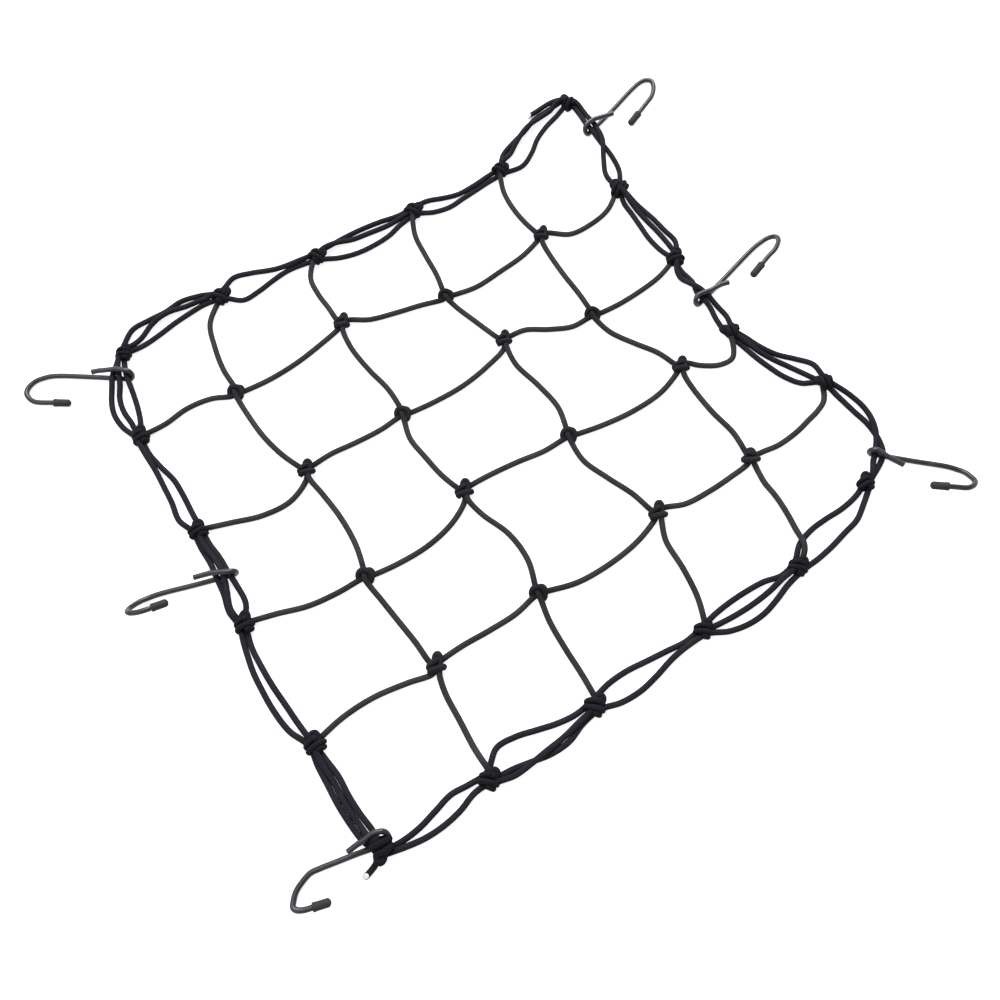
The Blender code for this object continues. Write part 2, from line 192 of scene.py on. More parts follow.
EDGE_KNOT = (
    ((-1.0, -2.6, 4.4), (-1.8, 0.8, 4.4), (-1.9, 3.6, 5.0), (-1.0, 5.6, 5.3), (0.6, 6.3, 5.4),
     (2.2, 5.6, 5.2), (2.9, 3.6, 4.9), (2.8, 0.8, 4.6), (2.0, -2.6, 4.4)),
    ((1.8, 3.4, 3.4), (0.4, 2.4, 6.0), (-2.2, 1.0, 7.2), (-4.6, -0.6, 5.8), (-5.6, -1.8, 3.6),
     (-4.0, -2.6, 2.0), (0.6, -1.8, 1.8), (4.6, -1.2, 2.2), (5.7, -1.2, 4.2), (4.3, -1.6, 6.6),
     (0.8, -2.7, 7.4), (-2.8, -4.2, 6.6), (-4.8, -5.2, 4.2), (-3.8, -5.6, 2.4), (0.4, -5.2, 2.0),
     (4.0, -4.6, 2.4), (5.2, -4.6, 4.0), (3.8, -5.0, 5.8), (1.0, -5.6, 6.0)),
    ((-0.2, 1.2, 6.2), (0.9, 1.8, 6.4), (1.2, 3.0, 5.8), (0.6, 4.0, 5.0)),
)
KNOT_KINDS = {"collar": COLLAR_KNOT, "hitch": HITCH_KNOT, "squat": SQUAT_KNOT, "edge": EDGE_KNOT}

# Where the cords enter each kind of knot: its own points (x, y, z), from outside in. A cord across
# the net joins left to right, and a cord down it far to near.
Ports = namedtuple("Ports", "left right far near")
HITCH_PORTS = Ports(
    left=((0.4, -8.0, 2.3), (0.2, -3.5, 3.0)),
    right=((4.0, 3.0, 2.3), (1.4, 0.8, 2.7)),
    far=((-4.8, 1.2, 2.3), (-2.0, -0.8, 2.8)),
    near=((2.3, -8.0, 4.6), (1.6, -3.5, 4.8)),
)
SQUAT_PORTS = Ports(
    left=((-1.6, -4.6, 2.3), (-0.6, -1.6, 2.6)),
    right=((4.4, 1.6, 2.3), (1.6, 0.4, 2.6)),
    far=((-2.8, 3.4, 2.6), (-1.6, 0.6, 3.0)),
    near=((2.0, -5.2, 3.6), (0.8, -2.0, 4.0)),
)
COLLAR_PORTS = Ports(
    left=((-3.4, -3.2, 2.1), (-0.6, -1.6, 2.0)),
    right=((3.6, 0.0, 2.1),),
    far=((-1.6, 3.6, 3.0), (-1.1, 1.2, 4.0)),
    near=((0.9, -4.2, 4.9), (-0.4, -1.0, 5.4)),
)
KNOT_PORTS = {"collar": COLLAR_PORTS, "hitch": HITCH_PORTS, "squat": SQUAT_PORTS}
HIGH_LEFT_PORT = ((-2.2, -6.0, 2.3), (-0.8, -2.8, 2.8))  # the left port of these hitches
HIGH_LEFT_KNOTS = ((1, 2), (1, 4), (3, 4), (4, 1), (4, 3))

# Each knot, by (row, column): its kind, how far its y is turned from the net's in degrees, and its
# width and length as shares of its kind's.
Knot = namedtuple("Knot", "kind turn width length")
KNOTS = {
    (0, 0): Knot("edge", -44, 0.79, 0.84), (0, 1): Knot("edge", -74, 0.96, 0.96),
    (0, 2): Knot("edge", -80, 0.92, 0.89), (0, 3): Knot("edge", -78, 0.96, 0.96),
    (0, 4): Knot("edge", -82, 0.89, 0.84), (0, 5): Knot("edge", 5, 0.84, 0.89),
    (1, 0): Knot("edge", -22, 0.84, 0.99), (1, 1): Knot("collar", -33, 1.0, 1.0),
    (1, 2): Knot("hitch", -42, 0.93, 0.95), (1, 3): Knot("collar", -28, 0.95, 0.85),
    (1, 4): Knot("hitch", -46, 0.88, 0.92), (1, 5): Knot("edge", 12, 1.14, 0.89),
    (2, 0): Knot("edge", -20, 0.97, 0.85), (2, 1): Knot("hitch", -33, 0.97, 0.92),
    (2, 2): Knot("collar", -33, 0.97, 0.97), (2, 3): Knot("hitch", -36, 0.92, 0.90),
    (2, 4): Knot("collar", -33, 0.95, 0.92), (2, 5): Knot("edge", -40, 0.94, 0.94),
    (3, 0): Knot("edge", -27, 0.92, 0.99), (3, 1): Knot("collar", -36, 1.05, 1.0),
    (3, 2): Knot("hitch", -33, 1.0, 1.0), (3, 3): Knot("collar", -36, 0.95, 1.0),
    (3, 4): Knot("hitch", -40, 0.95, 0.92), (3, 5): Knot("edge", 50, 0.89, 0.94),
    (4, 0): Knot("edge", -16, 0.99, 0.92), (4, 1): Knot("hitch", -33, 1.0, 1.05),
    (4, 2): Knot("collar", -30, 1.0, 1.0), (4, 3): Knot("hitch", -36, 1.0, 1.02),
    (4, 4): Knot("squat", -33, 0.97, 1.0), (4, 5): Knot("edge", 50, 0.84, 0.84),
    (5, 0): Knot("edge", 150, 1.00, 1.12), (5, 1): Knot("edge", -65, 0.94, 0.94),
    (5, 2): Knot("edge", -65, 0.99, 0.99), (5, 3): Knot("edge", -60, 0.86, 0.86),
    (5, 4): Knot("edge", -70, 0.89, 0.89), (5, 5): Knot("edge", -33, 0.82, 0.86),
}
LIFTED_KNOT = (MESHES, 0)  # this one sits on the wire of the hook under it
LIFT = WIRE + GAP + FLOOR_GAP


# ---------------------------------------------------------------- camera, surface and light

LOOKED_AT = Vector((-0.02625, -0.04957, 0))  # the point on the surface in the picture's middle
CAMERA_DISTANCE = 0.6575


def aim(azimuth, elevation, roll):
    """The turn of a camera that looks down at this elevation, and the way that it looks."""
    turned, raised, rolled = (math.radians(angle) for angle in (azimuth, elevation, roll))
    ahead = Vector((math.sin(turned) * math.cos(raised), math.cos(turned) * math.cos(raised),
                    -math.sin(raised)))
    right = Vector((math.cos(turned), -math.sin(turned), 0))
    up = right.cross(ahead)
    level = Matrix((right, up, -ahead)).transposed()
    return level @ Matrix.Rotation(rolled, 3, "Z"), ahead


def make_camera():
    """The camera at the photograph's place and angle."""
    turn, ahead = aim(azimuth=27.9, elevation=68.35, roll=-5.06)
    data = bpy.data.cameras.new("camera")
    data.sensor_width = 36
    data.lens = 34.8
    camera = bpy.data.objects.new("camera", data)
    camera.matrix_world = Matrix.Translation(LOOKED_AT - ahead * CAMERA_DISTANCE) @ turn.to_4x4()
    bpy.context.scene.collection.objects.link(camera)
    bpy.context.scene.camera = camera


LAMP_SIZE = 1.6
LAMPS = (("main_lamp", (0.8, 1.5, 1.9), 110), ("fill_lamp", (-1.2, 0.4, 2.0), 20))


def make_stage():
    """A pale surface under the net, soft daylight all round and two large soft lamps."""
    bpy.ops.object.select_all(action="DESELECT")
    bpy.ops.mesh.primitive_plane_add(size=8, location=(0, 0, 0))
    surface = bpy.context.object
    surface.name = "pale_surface"
    finish = Finish("pale_surface")
    finish.shade({"Base Color": (0.45, 0.45, 0.45, 1), "Roughness": 0.9, "Specular IOR Level": 0.0,
                  "Emission Color": (1, 1, 1, 1), "Emission Strength": 0.8})
    surface.data.materials.append(finish.material)

    world = bpy.data.worlds.new("soft_daylight")
    world.use_nodes = True
    world.node_tree.nodes["Background"].inputs["Color"].default_value = (0.94, 0.97, 1, 1)
    world.node_tree.nodes["Background"].inputs["Strength"].default_value = 0.55
    bpy.context.scene.world = world

    for name, place, power in LAMPS:
        data = bpy.data.lights.new(name, "AREA")
        data.size = LAMP_SIZE
        data.energy = power
        lamp = bpy.data.objects.new(name, data)
        lamp.location = place
        lamp.rotation_euler = (-Vector(place)).to_track_quat("-Z", "Y").to_euler()
        bpy.context.scene.collection.objects.link(lamp)
    bpy.context.scene.view_settings.view_transform = "Standard"


# ---------------------------------------------------------------- materials

class Value:
    """A number that varies over a surface, as a socket. Sums on it add Math nodes."""

    def __init__(self, finish, socket):
        self.finish = finish
        self.socket = socket

    def sum(self, operation, *others):
        """This value and the others put through one Math node."""
        return self.finish.node("ShaderNodeMath", {"operation": operation},
                                dict(enumerate((self, *others))))

    def __add__(self, other):
        return self.sum("ADD", other)

    def __sub__(self, other):
        return self.sum("SUBTRACT", other)

    def __mul__(self, other):
        return self.sum("MULTIPLY", other)

    def __rsub__(self, other):
        return (self * -1) + other

    __radd__ = __add__
    __rmul__ = __mul__


class Finish:
    """One material, with the nodes that make its look."""

    def __init__(self, name):
        self.material = bpy.data.materials.new(name)
        self.material.use_nodes = True
        self.tree = self.material.node_tree
        self.shader = self.tree.nodes["Principled BSDF"]

    def put(self, node, sockets):
        """Sets or links a node's sockets, by name or number."""
        for key, value in sockets.items():
            if isinstance(value, Value):
                self.tree.links.new(value.socket, node.inputs[key])
            else:
                node.inputs[key].default_value = value

    def node(self, kind, settings=None, sockets=None, output=0):
        """Adds a node and gives one of its outputs. Its settings come before its sockets."""
        node = self.tree.nodes.new(kind)
        for key, value in (settings or {}).items():
            setattr(node, key, value)
        self.put(node, sockets or {})
        return Value(self, node.outputs[output])

    def mix(self, share, first, second):
        """The colour between two colours."""
        return self.node("ShaderNodeMix", {"data_type": "RGBA"},
                         {"Factor": share, 6: first, 7: second}, output=2)

    def place(self):
        """Where a point of the piece is, in the piece's own coordinates."""
        return self.node("ShaderNodeTexCoord", output=3)

    def noise(self, scale, detail, rough):
        """Soft noise from 0 to 1 on the piece's own coordinates."""
        return self.node("ShaderNodeTexNoise", None, {"Vector": self.place(), "Scale": scale,
                                                      "Detail": detail, "Roughness": rough})

    def bump(self, height, strength, distance):
        """A normal that follows a height."""
        return self.node("ShaderNodeBump", None,
                         {"Strength": strength, "Distance": distance, "Height": height})

    def shade(self, sockets):
        """Sets the shader's own sockets."""
        self.put(self.shader, sockets)


CARRIERS = 8               # yarns of the sleeve that wind each way
BRAID_RISE = 0.85          # turns round the cord for one cord's girth along it
FADE = (0.8, 1.45)         # of the pale colour, from place to place
KNOT_SHADE_ATTRIBUTE = "painted_knot_shade"    # the attribute of the painted shade that darkens a cord beside the knots
KNOT_SHADE_COLOUR = (0.003, 0.003, 0.005, 1)  # the colour of that painted shade, half way


def make_cord_finish(name, dark, pale):
    """A dull black braided sleeve: yarns wind both ways, over and under each other."""
    finish = Finish(name)
    place = finish.node("ShaderNodeUVMap", {"uv_map": "UVMap"})
    girths = finish.node("ShaderNodeSeparateXYZ", None, {"Vector": place})
    turns = finish.node("ShaderNodeSeparateXYZ", None, {"Vector": place}, output=1)
    left = (turns + girths * BRAID_RISE) * CARRIERS
    right = (turns - girths * BRAID_RISE) * CARRIERS
    over = ((left.sum("FLOOR") + right.sum("FLOOR")) * 0.5).sum("FRACT") * 2
    left_crown = (left.sum("FRACT") * math.pi).sum("SINE")
    right_crown = (right.sum("FRACT") * math.pi).sum("SINE")
    crown = left_crown + (right_crown - left_crown) * over
    fuzz = finish.noise(2600, 3, 0.7)
    fade = finish.noise(18, 3, 0.6) * 2 - 0.5
    patch = finish.noise(160, 2, 0.5)
    # painted light and shade: the yarns' crowns are painted paler and the hollows between them
    # darker; fuzz and patches add uneven tone
    crown_light_and_mottle = (crown * 0.5 + fuzz * 0.3 + patch * 0.5 - 0.2).sum("MAXIMUM", 0.0)
    tint = finish.mix(fade, *((*(value * share for value in pale[:3]), 1) for share in FADE))
    # painted shade: a cord is painted darker beside the knots, as if the knots shaded it
    painted_knot_shade = finish.node("ShaderNodeAttribute", {"attribute_name": KNOT_SHADE_ATTRIBUTE}, output=2)
    finish.shade({
        "Base Color": finish.mix(painted_knot_shade * 0.5, finish.mix(crown_light_and_mottle, dark, tint), KNOT_SHADE_COLOUR),
        "Roughness": 0.94 - crown * 0.12 + patch * 0.04,
        "Specular IOR Level": 0.12,
        "Normal": finish.bump(crown + fuzz * 0.35, 0.6, 0.00025),
    })
    return finish.material


def make_wire_finish():
    """Steel wire in a satin black coating, a little uneven."""
    finish = Finish("black_coated_wire")
    flow = finish.noise(420, 3, 0.55)
    grain = finish.noise(3200, 2, 0.6)
    wear = (finish.noise(95, 4, 0.6) - 0.55) * 5
    worn = wear.sum("MAXIMUM", 0.0).sum("MINIMUM", 1.0)
    finish.shade({
        "Base Color": finish.mix(worn, (0.012, 0.013, 0.017, 1), (0.033, 0.035, 0.044, 1)),
        "Metallic": 0.2,
        "Roughness": 0.32 + flow * 0.14 + worn * 0.10,
        "Coat Weight": 0.12,
        "Coat Roughness": 0.25,
        "Normal": finish.bump(flow + grain * 0.25, 0.18, 0.0002),
    })
    return finish.material


def make_cut_steel_finish():
    """Bare steel where the wire was cut, with the lines of the shears."""
    finish = Finish("cut_steel")
    lines = finish.noise(1800, 3, 0.6)
    finish.shade({
        "Base Color": finish.mix(lines, (0.30, 0.31, 0.33, 1), (0.62, 0.63, 0.66, 1)),
        "Metallic": 0.9,
        "Roughness": 0.30 + lines * 0.2,
        "Normal": finish.bump(lines, 0.3, 0.0001),
    })
    return finish.material


def make_cap_finish():
    """Soft dark vinyl, matt, with a skin like an orange's and rubbed places."""
    finish = Finish("soft_vinyl")
    skin = finish.noise(1500, 3, 0.55)
    rubbed = finish.noise(140, 3, 0.6)
    finish.shade({
        "Base Color": finish.mix(rubbed, (0.011, 0.011, 0.013, 1), (0.026, 0.026, 0.029, 1)),
        "Roughness": 0.66 + rubbed * 0.2,
        "Specular IOR Level": 0.3,
        "Normal": finish.bump(skin, 0.25, 0.0002),
    })
    return finish.material


def make_rubber_finish():
    """The pale rubber strands inside the sleeve, seen at a cut end."""
    finish = Finish("rubber_core")
    strands = finish.node("ShaderNodeTexVoronoi", None,
                          {"Vector": finish.place(), "Scale": 1700, "Randomness": 0.8})
    finish.shade({
        "Base Color": finish.mix(strands, (0.86, 0.84, 0.80, 1), (0.50, 0.48, 0.45, 1)),
        "Roughness": 0.6 + strands * 0.2,
        "Normal": finish.bump(1 - strands, 0.5, 0.0002),
    })
    return finish.material


# ---------------------------------------------------------------- lines

def on_plan(x, y, z=0.0):
    """A point given from the middle of the even mesh, moved to the footprint's own middle."""
    return Vector((x - MIDDLE_X, y - MIDDLE_Y, z))


def knot_place(knot):
    """The point on the surface under a knot."""
    row, column = knot
    shift_x, shift_y = KNOT_SHIFT[row][column]
    half = MESHES / 2
    return on_plan((column - half) * PITCH + shift_x * MM, (half - row) * PITCH + shift_y * MM)


def knot_turn(knot):
    """The matrix from a knot's own points, in metres, to the net."""
    lift = LIFT if knot == LIFTED_KNOT else 0
    place = knot_place(knot) + Vector((0, 0, lift))
    turn = Matrix.Rotation(math.radians(KNOTS[knot].turn), 4, "Z")
    size = Matrix.Diagonal((KNOTS[knot].width, KNOTS[knot].length, 1, 1))
    return Matrix.Translation(place) @ turn @ size


SAME_POINT = 0.05 * MM     # two points nearer than this are one


def smooth(points, step):
    """Evenly spaced points, about a step apart, on a smooth curve through the given ones."""
    points = points[:1] + [point for before, point in zip(points, points[1:])
                           if (point - before).length > SAME_POINT]
    ends = [points[0] * 2 - points[1], *points, points[-1] * 2 - points[-2]]
    dense = []
    for before, start, end, after in zip(ends, ends[1:], ends[2:], ends[3:]):
        times = [0.0]
        for first, second in ((before, start), (start, end), (end, after)):
            times.append(times[-1] + math.sqrt((second - first).length))
        count = max(2, math.ceil((end - start).length / (0.25 * step)))
        for index in range(count):
            time = times[1] + (times[2] - times[1]) * index / count

            def between(low, high, first, second):
                return first + (second - first) * ((time - times[low]) / (times[high] - times[low]))

            a_1 = between(0, 1, before, start)
            a_2 = between(1, 2, start, end)
            a_3 = between(2, 3, end, after)
            b_1 = between(0, 2, a_1, a_2)
            b_2 = between(1, 3, a_2, a_3)
            dense.append(between(1, 2, b_1, b_2))
    dense.append(points[-1])
    return even(dense, step)


def even(points, step):
    """The same line with evenly spaced points."""
    far = [0.0]
    for first, second in zip(points, points[1:]):
        far.append(far[-1] + (second - first).length)
    count = max(2, round(far[-1] / step))
    result, at = [], 0
    for index in range(count + 1):
        goal = far[-1] * index / count
        while at < len(points) - 2 and far[at + 1] < goal:
            at += 1
        share = (goal - far[at]) / max(far[at + 1] - far[at], 1e-9)
        result.append(points[at].lerp(points[at + 1], min(share, 1)))
    return result


def length_of(points):
    """The length of a line."""
    return sum((second - first).length for first, second in zip(points, points[1:]))


def leg_point(start, end, along, bow, height=REST):
    """A point of a leg, this share of the way between its knots and this many mm to its left."""
    first = knot_place(start)
    way = knot_place(end) - first
    left = Vector((-way.y, way.x, 0)).normalized()
    point = first + way * along + left * bow * MM
    point.z = height
    return point


def ports_of(knot, way):
    """The points by which a cord enters one of the net's inner knots, from outside in."""
    turn = knot_turn(knot)
    if way == "left" and knot in HIGH_LEFT_KNOTS:
        points = HIGH_LEFT_PORT
    else:
        points = getattr(KNOT_PORTS[KNOTS[knot].kind], way)
    return [turn @ (Vector(point) * MM) for point in points]


def is_edge(knot):
    """Whether a knot is on the border."""
    return knot[0] in (0, MESHES) or knot[1] in (0, MESHES)


EDGE_HEIGHT = 3.4 * MM     # of the border's strands inside a border knot
NET_END_HEIGHT = 2.5 * MM  # of the net's own cords there


def net_cord(knots, bows, arrive, leave, aside=0.0):
    """Points of a cord through the knots of one row or column, with these bows between them.

    It enters its first knot this far aside, and its last one as far to the other side.
    """
    points = []
    for index, (start, end) in enumerate(zip(knots, knots[1:])):
        if is_edge(start):
            points.append(knot_place(start) + Vector((-aside, 0, NET_END_HEIGHT)))
        steps = len(bows[index]) + 1
        points += [leg_point(start, end, (step + 1) / steps, bow)
                   for step, bow in enumerate(bows[index])]
        if is_edge(end):
            points.append(knot_place(end) + Vector((aside, 0, NET_END_HEIGHT)))
        else:
            points += ports_of(end, arrive) + ports_of(end, leave)[::-1]
    return points


def border_knots():
    """The border's knots, clockwise from the far left corner and back to it."""
    last = MESHES
    far = [(0, column) for column in range(last)]
    right = [(row, last) for row in range(last)]
    near = [(last, last - column) for column in range(last)]
    left = [(last - row, 0) for row in range(last)]
    return far + right + near + left + far[:1]


IN_KNOT = 0.4              # share of a strand's stand-off, on both sides together, left in the knot
IN_CORNER = 0.5            # the same where it ends
MOST_IN_KNOT = 4           # mm


def in_knot(before, after=None):
    """How far a strand stands off the middle of a knot, from what it does beside it, in mm."""
    left = IN_CORNER * before if after is None else IN_KNOT * (before + after)
    return max(-MOST_IN_KNOT, min(MOST_IN_KNOT, left))


def strand(start, end, offsets, begins, ends):
    """Points of one strand of a border run, up to the middle of its second knot."""
    points = [leg_point(start, end, 0, begins, EDGE_HEIGHT)] if begins is not None else []
    points += [leg_point(start, end, (step + 1) / 6, offset) for step, offset in enumerate(offsets)]
    return points + [leg_point(start, end, 1, ends, EDGE_HEIGHT)]


# ---------------------------------------------------------------- laying cords over what is there

CELL = 8 * MM              # of the grid that finds what is near a point
KNOT_REACH = 7.5 * MM      # cords lie inside each other only within this of a knot's middle
RISE = 8 * MM              # how gently a lifted cord comes down again
SINK = 0.05 * MM           # how far a cord presses into what it lies on
LOWEST = REST - 0.1 * MM   # of a cord's middle


class Pile:
    """What lies on the surface so far, as points with a radius, for the next cord to lie over."""

    def __init__(self):
        self.cells = {}

    def cell(self, point):
        """The column and row of the cell that a point is in."""
        return math.floor(point.x / CELL), math.floor(point.y / CELL)

    def add(self, points, radius):
        """Puts a line of this radius on the pile."""
        for point in points:
            self.cells.setdefault(self.cell(point), []).append((point, radius))

    def top_at(self, point, radius):
        """The lowest height at which something of this radius clears what is under it here."""
        column, row = self.cell(point)
        best = 0.0
        for step_x in (-1, 0, 1):
            for step_y in (-1, 0, 1):
                for other, other_radius in self.cells.get((column + step_x, row + step_y), ()):
                    reach = radius + other_radius
                    beside = (point.xy - other.xy).length
                    if beside < reach:
                        best = max(best, other.z + math.sqrt(reach * reach - beside * beside))
        return best


def lay(points, pile, step):
    """The line with its points raised, gently, to clear what it crosses outside the knots."""
    middles = [knot_place(knot) for knot in KNOTS]
    raises = []
    for index, point in enumerate(points):
        if min((point.xy - middle.xy).length for middle in middles) < KNOT_REACH:
            continue
        need = pile.top_at(point, CORD / 2 - SINK) - point.z
        if need > SINK:
            raises.append((index, need))
    laid = []
    for index, point in enumerate(points):
        up = max((need * math.exp(-((index - other) * step / RISE) ** 2)
                  for other, need in raises if abs(index - other) * step < 3 * RISE), default=0)
        laid.append(Vector((point.x, point.y, max(point.z + up, LOWEST))))
    return laid


# ---------------------------------------------------------------- tubes

def settle(piece, name):
    """Names a finished piece, keeps it at the origin and turns its faces outwards."""
    piece.name = name
    piece.data.name = name
    bpy.ops.object.select_all(action="DESELECT")
    piece.select_set(True)
    bpy.context.view_layer.objects.active = piece
    bpy.ops.object.transform_apply(location=True, rotation=True, scale=True)
    bpy.ops.object.mode_set(mode="EDIT")
    bpy.ops.mesh.select_all(action="SELECT")
    bpy.ops.mesh.remove_doubles(threshold=0.005 * MM)
    bpy.ops.mesh.normals_make_consistent(inside=False)
    bpy.ops.object.mode_set(mode="OBJECT")


def tube(name, points, diameter, sides, material):
    """A round tube with closed ends through evenly spaced points.

    Its UV map counts girths along it and turns round it.
    """
    data = bpy.data.curves.new(name, "CURVE")
    data.dimensions = "3D"
    data.twist_mode = "MINIMUM"
    data.bevel_depth = diameter / 2
    data.bevel_resolution = (sides - 4) // 2
    data.use_fill_caps = True
    line = data.splines.new("POLY")
    line.points.add(len(points) - 1)
    for target, point in zip(line.points, points):
        target.co = (*point, 1)
    piece = bpy.data.objects.new(name, data)
    bpy.context.scene.collection.objects.link(piece)
    bpy.ops.object.select_all(action="DESELECT")
    piece.select_set(True)
    bpy.context.view_layer.objects.active = piece
    bpy.ops.object.convert(target="MESH")
    piece = bpy.context.object
    girths = length_of(points) / (math.pi * diameter)
    for corner in piece.data.uv_layers["UVMap"].data:
        corner.uv.x *= girths
    piece.data.materials.clear()
    piece.data.materials.append(material)
    settle(piece, name)
    bpy.ops.object.shade_smooth_by_angle(angle=math.radians(50))
    return piece


def join(name, parts):
    """Several meshes as one piece."""
    bpy.ops.object.select_all(action="DESELECT")
    for part in parts:
        part.select_set(True)
    bpy.context.view_layer.objects.active = parts[0]
    bpy.ops.object.join()
    piece = bpy.context.object
    piece.name = name
    piece.data.name = name
    return piece


def copy_of(piece, name, placing):
    """A copy with its own mesh, put in place."""
    bpy.ops.object.select_all(action="DESELECT")
    piece.select_set(True)
    bpy.context.view_layer.objects.active = piece
    bpy.ops.object.duplicate(linked=False)
    copy = bpy.context.object
    copy.matrix_world = placing
    bpy.ops.object.transform_apply(location=True, rotation=True, scale=True)
    copy.name = name
    copy.data.name = name
    return copy


# ---------------------------------------------------------------- hooks

def hook_frame(hook):
    """The hook's corner point, its outward direction and the direction to its bend's side."""
    heading = math.radians(hook.heading)
    out = Vector((math.cos(heading), math.sin(heading), 0))
    side = Vector((-out.y, out.x, 0)) * hook.side
    return on_plan(hook.x * MM, hook.y * MM), out, side


WIRE_LOW = COATED_WIRE / 2 + 0.05 * MM  # height of the shank on the surface
WIRE_HIGH = WIRE_LOW + WIRE + CORD + 2 * GAP + FLOOR_GAP  # and of the hairpin's upper leg
TURN_STEPS = 14            # in a hairpin's turn
WIRE_STEP = 0.8 * MM
WIRE_SIDES = 20


def hook_points(hook):
    """The wire's centre line, from the hairpin's cut end to the end under the cap."""
    corner, out, side = hook_frame(hook)
    turn = (WIRE_HIGH - WIRE_LOW) / 2
    tilt = math.radians(hook.tilt)

    def at(along, across, height):
        return corner + out * (along * MM) + side * (across * MM) + Vector((0, 0, height))

    points = [at(along, across, WIRE_HIGH) for along, across in hook.tail[:-1]]
    root, upper = hook.tail[-1]
    lower = hook.shank[0][1]
    for step in range(TURN_STEPS + 1):
        angle = math.pi * (0.5 - step / TURN_STEPS)
        across = lower + (upper - lower) * (1 + math.sin(angle)) / 2
        points.append(at(root - turn / MM * math.cos(angle), across,
                         WIRE_LOW + turn * (1 + math.sin(angle))))
    for along, across in hook.shank[1:]:
        height = WIRE_LOW + max(across, 0) * MM * math.sin(tilt)
        points.append(at(along, across * math.cos(tilt), height))
    return points


def hook_line(hook):
    """The wire's centre line, smooth, evenly spaced and never under the surface."""
    return [Vector((*point.xy, max(point.z, WIRE_LOW)))
            for point in smooth(hook_points(hook), WIRE_STEP)]


FACING = 0.99              # a face looks a certain way if its normal agrees with it by this much
BURR_WIDTH = 0.3 * MM      # of the bevel filed round the cut end
BURR_HEIGHT = 0.22 * MM


def make_hook(hook, wire, cut_steel):
    """The bent wire: smooth bends, and a cut end with its burr taken off."""
    line = hook_line(hook)
    piece = tube(hook.name + "_wire", line, COATED_WIRE, WIRE_SIDES, wire)
    piece.data.materials.append(cut_steel)
    way = (line[0] - line[1]).normalized()
    bpy.ops.object.mode_set(mode="EDIT")
    bpy.ops.mesh.select_all(action="DESELECT")
    bpy.ops.mesh.select_mode(type="FACE")
    shape = bmesh.from_edit_mesh(piece.data)
    for face in shape.faces:
        near = (face.calc_center_median() - line[0]).length < WIRE
        face.select_set(near and face.normal.dot(way) > FACING)
    bmesh.update_edit_mesh(piece.data)
    piece.active_material_index = 1
    bpy.ops.mesh.inset(thickness=BURR_WIDTH, depth=BURR_HEIGHT)
    bpy.ops.object.material_slot_assign()
    bpy.ops.object.mode_set(mode="OBJECT")
    return piece, line


CAP_DIAMETER = 5.4 * MM
DOME = ((0.35, 0.75), (0.55, 0.65), (0.65, 0.45), (0.55, 0.2))  # steps (in, up) of the end, mm
MOUTH = ((0.25, -0.15), (0.35, 0.1), (0.3, 0.9))  # and of the rolled mouth round the wire
RING_EDGES = (2.2, 2.7)    # mm from the mouth, where its thicker ring runs out
RING_LENGTH = 2.4 * MM
RING_SWELL = 1.05
WALL_RADIUS = 0.47 * CAP_DIAMETER  # outside this a vertex is on the sleeve's wall


def make_cap(name, length, end, before, material):
    """The soft cap on a hook's tip: a closed sleeve with a rolled mouth and a domed end."""
    bpy.ops.object.select_all(action="DESELECT")
    bpy.ops.mesh.primitive_cylinder_add(vertices=32, radius=CAP_DIAMETER / 2, depth=length,
                                        location=(0, 0, length / 2))
    piece = bpy.context.object
    bpy.ops.object.transform_apply(location=True, rotation=True, scale=True)
    bpy.ops.object.mode_set(mode="EDIT")
    bpy.ops.mesh.select_mode(type="FACE")
    for facing, steps in ((1, DOME), (-1, MOUTH)):
        bpy.ops.mesh.select_all(action="DESELECT")
        shape = bmesh.from_edit_mesh(piece.data)
        for face in shape.faces:
            face.select_set(face.normal.z * facing > FACING)
        bmesh.update_edit_mesh(piece.data)
        for inset, rise in steps:
            bpy.ops.mesh.inset(thickness=inset * MM, depth=0)
            bpy.ops.transform.translate(value=(0, 0, rise * MM))
    for height in RING_EDGES:
        bpy.ops.mesh.select_all(action="SELECT")
        bpy.ops.mesh.bisect(plane_co=(0, 0, height * MM), plane_no=(0, 0, 1))
    bpy.ops.object.mode_set(mode="OBJECT")
    top = max(vertex.co.z for vertex in piece.data.vertices)
    for vertex in piece.data.vertices:
        on_wall = Vector(vertex.co.xy).length > WALL_RADIUS
        if on_wall and vertex.co.z < RING_LENGTH:
            vertex.co.x *= RING_SWELL
            vertex.co.y *= RING_SWELL
        vertex.co.z *= length / top
    axis = (end - before).normalized()
    turn = axis.to_track_quat("Z", "Y").to_matrix().to_4x4()
    piece.matrix_world = Matrix.Translation(end + axis * GAP) @ turn
    piece.data.materials.append(material)
    settle(piece, name)
    bpy.ops.object.shade_smooth_by_angle(angle=math.radians(42))
    return piece


# ---------------------------------------------------------------- making the net

CORD_STEP = 1.4 * MM
CORD_SIDES = 16
KNOT_STEP = 0.8 * MM
DOWN_ASIDE = 2 * MM        # a cord down ends this far to the sides of its two border knots' middles


def declare(piece, nodes):
    """Puts a cord on the root body and hides the imported parts that it takes the place of."""
    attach(piece, "root")
    if nodes:
        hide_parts(*nodes)


SLANT = 0.8                # how far the cut leans, for one of its height
CUT_REACH = 0.3 * MM       # how far back from the cut its leaning vertices are


def slant(piece, line):
    """Leans the cut face at the end of a line back, as shears do, so that it looks up."""
    way = (line[-1] - line[-2]).normalized()
    for vertex in piece.data.vertices:
        apart = vertex.co - line[-1]
        if apart.length < CORD and apart.dot(way) > -CUT_REACH:
            vertex.co += way * (SLEEVE / 2 - apart.z) * SLANT


KNOT_SHADE_TO = 12 * MM          # from a knot's middle, where a cord's painted shade ends
KNOT_SHADE_FROM = 6 * MM         # and where that painted shade is darkest
